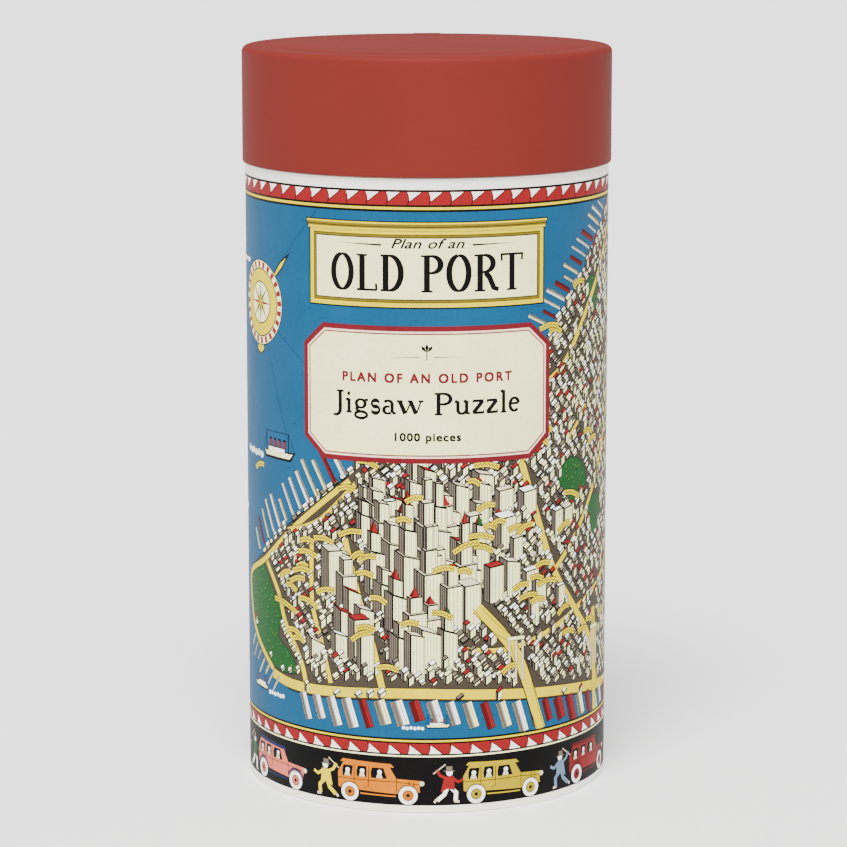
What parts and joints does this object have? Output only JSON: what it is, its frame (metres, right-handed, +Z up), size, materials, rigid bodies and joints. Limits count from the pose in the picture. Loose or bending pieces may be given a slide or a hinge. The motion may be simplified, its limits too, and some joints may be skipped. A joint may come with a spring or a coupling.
{
  "type": "jigsaw puzzle in a telescoping paperboard tube",
  "caption": "Jigsaw puzzle in an upright round paperboard tube with a lift-off lid, a bag of loose pieces and a folded picture sheet inside.",
  "frame": {"origin": "centre of the tube's flat base, on the surface it stands on", "axes": "+Z up along the tube's axis towards the lid; -Y towards the front of the printed wrap, where the title panel and label are"},
  "size_m": [0.134, 0.134, 0.268],
  "materials": {
    "grey_board": "matte",
    "printed_paper": "satin",
    "white_paper": "matte",
    "red_paper": "matte",
    "muslin": "matte",
    "cotton_cord": "matte",
    "puzzle_board": "satin"
  },
  "bodies": {
    "tube": {"body_tube": "grey_board", "map_wrap": "printed_paper", "base_cover_paper": "white_paper", "base_disc": "grey_board", "neck_tube": "grey_board", "neck_cover_paper": "white_paper", "floor_lining": "white_paper"},
    "bag": {"muslin_bag": "muslin", "bag_tie_cord": "cotton_cord", "puzzle_pieces_01": "puzzle_board", "puzzle_pieces_02": "puzzle_board", "puzzle_pieces_03": "puzzle_board", "puzzle_pieces_04": "puzzle_board", "puzzle_pieces_05": "puzzle_board", "puzzle_pieces_06": "puzzle_board", "puzzle_pieces_07": "puzzle_board", "puzzle_pieces_08": "puzzle_board", "puzzle_pieces_09": "puzzle_board", "puzzle_pieces_10": "puzzle_board", "puzzle_pieces_11": "puzzle_board", "puzzle_pieces_12": "puzzle_board", "puzzle_pieces_13": "puzzle_board", "puzzle_pieces_14": "puzzle_board", "puzzle_pieces_15": "puzzle_board", "puzzle_pieces_16": "puzzle_board", "puzzle_pieces_17": "puzzle_board", "puzzle_pieces_18": "puzzle_board", "puzzle_pieces_19": "puzzle_board", "puzzle_pieces_20": "puzzle_board"},
    "picture": {"picture_sheet": "printed_paper"},
    "lid": {"lid_sleeve": "grey_board", "lid_top_disc": "grey_board", "lid_side_paper": "red_paper", "lid_top_paper": "red_paper", "lid_side_lining": "white_paper", "lid_top_lining": "white_paper"}
  },
  "joints": [
    {"name": "bag_lift", "type": "slide", "parent": "tube", "child": "bag", "axis": [0, 0, 1], "range_m": [0, 0.262]},
    {"name": "picture_lift", "type": "slide", "parent": "bag", "child": "picture", "axis": [0, 0, 1], "range_m": [0, 0.045]},
    {"name": "lid_lift", "type": "slide", "parent": "picture", "child": "lid", "axis": [0, 0, 1], "range_m": [0, 0.045]}
  ]
}
